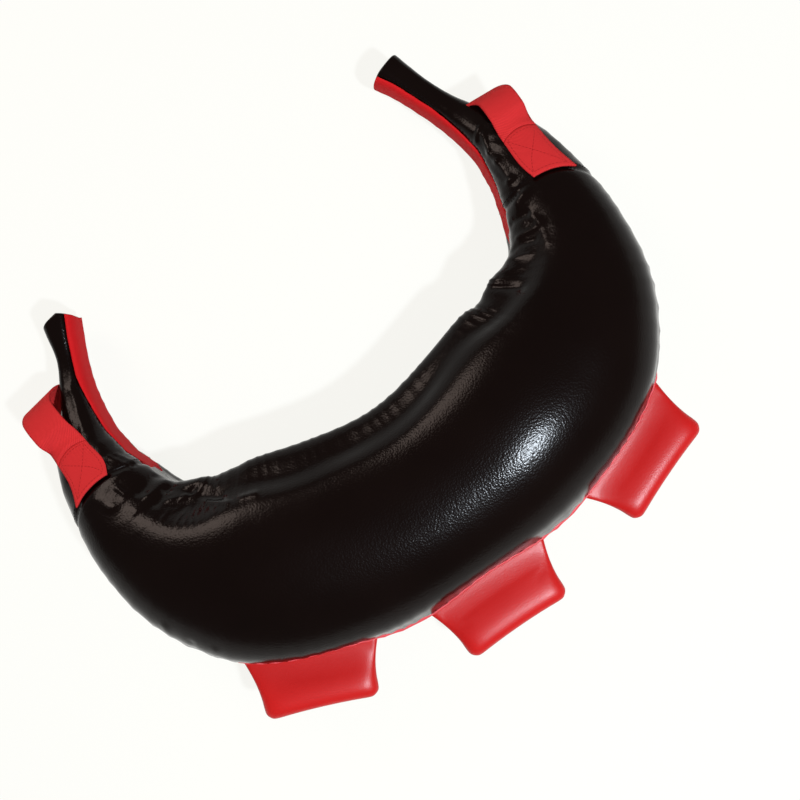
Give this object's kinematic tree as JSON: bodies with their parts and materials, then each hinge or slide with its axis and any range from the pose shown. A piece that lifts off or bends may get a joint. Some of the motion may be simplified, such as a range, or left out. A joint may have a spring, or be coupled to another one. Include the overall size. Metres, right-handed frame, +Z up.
{
  "type": "bulgarian bag",
  "caption": "Crescent-shaped weighted training bag of sewn leather, with stuffed horns for handles, webbing hand loops and stuffed finger grips along its outer seam.",
  "frame": {"origin": "on the floor, under the centre of the bag's box", "axes": "+Z up with the bag lying on its back cover; +Y from the belly's outer seam to the horns; +X to the horn on the right when the horns point away"},
  "size_m": [0.648, 0.564, 0.1659],
  "materials": {
    "black_leather": "glossy, fine grain",
    "red_leather": "satin, fine grain",
    "red_webbing": "matte woven",
    "stuffing_wool": "matte wool",
    "sand_sackcloth": "matte cloth",
    "grip_foam": "matte foam"
  },
  "bodies": {
    "bag": {"front_cover": "black_leather", "back_cover": "black_leather", "inner_gusset": "red_leather", "grip_band": "red_leather", "wadding_sleeve": "stuffing_wool", "sand_sack_left": "sand_sackcloth", "sand_sack_middle": "sand_sackcloth", "sand_sack_right": "sand_sackcloth", "neck_wool_left": "stuffing_wool", "neck_wool_right": "stuffing_wool"},
    "horn_left": {"horn_front_left": "black_leather", "horn_back_left": "black_leather", "horn_strip_left": "red_leather", "horn_core_left": "stuffing_wool", "horn_cap_left": "black_leather", "loop_front_end_left": "red_webbing", "loop_back_end_left": "red_webbing"},
    "loop_left": {"loop_strap_left": "red_webbing"},
    "horn_right": {"horn_front_right": "black_leather", "horn_back_right": "black_leather", "horn_strip_right": "red_leather", "horn_core_right": "stuffing_wool", "horn_cap_right": "black_leather", "loop_front_end_right": "red_webbing", "loop_back_end_right": "red_webbing"},
    "loop_right": {"loop_strap_right": "red_webbing"},
    "grip_left": {"grip_sleeve_left": "red_leather", "grip_core_left": "grip_foam"},
    "grip_middle": {"grip_sleeve_middle": "red_leather", "grip_core_middle": "grip_foam"},
    "grip_right": {"grip_sleeve_right": "red_leather", "grip_core_right": "grip_foam"}
  },
  "joints": [
    {"name": "horn_flex_left", "type": "hinge", "parent": "bag", "child": "horn_left", "pos_m": [-0.26086, 0.00821, 0.06827], "axis": [0, 0, -1], "range_deg": [-12, 18], "stiffness_Nm_per_rad": 14},
    {"name": "loop_swing_left", "type": "hinge", "parent": "horn_left", "child": "loop_left", "pos_m": [-0.27455, 0.09197, 0.05273], "axis": [0, 0, 1], "range_deg": [0, 28], "stiffness_Nm_per_rad": 0.25},
    {"name": "horn_flex_right", "type": "hinge", "parent": "bag", "child": "horn_right", "pos_m": [0.26066, 0.01144, 0.06827], "axis": [0, 0, 1], "range_deg": [-12, 18], "stiffness_Nm_per_rad": 14},
    {"name": "loop_swing_right", "type": "hinge", "parent": "horn_right", "child": "loop_right", "pos_m": [0.27805, 0.10217, 0.05342], "axis": [0, 0, -1], "range_deg": [0, 28], "stiffness_Nm_per_rad": 0.25},
    {"name": "grip_flap_left", "type": "hinge", "parent": "bag", "child": "grip_left", "pos_m": [-0.19932, -0.19541, 0.08024], "axis": [-0.9316, 0.3634, 0], "range_deg": [-60, 70], "stiffness_Nm_per_rad": 1.2},
    {"name": "grip_flap_middle", "type": "hinge", "parent": "bag", "child": "grip_middle", "pos_m": [-0.00134, -0.22704, 0.08], "axis": [-1, 0, 0], "range_deg": [-60, 70], "stiffness_Nm_per_rad": 1.2},
    {"name": "grip_flap_right", "type": "hinge", "parent": "bag", "child": "grip_right", "pos_m": [0.19632, -0.19559, 0.08024], "axis": [-0.9318, -0.3629, 0], "range_deg": [-60, 70], "stiffness_Nm_per_rad": 1.2}
  ]
}
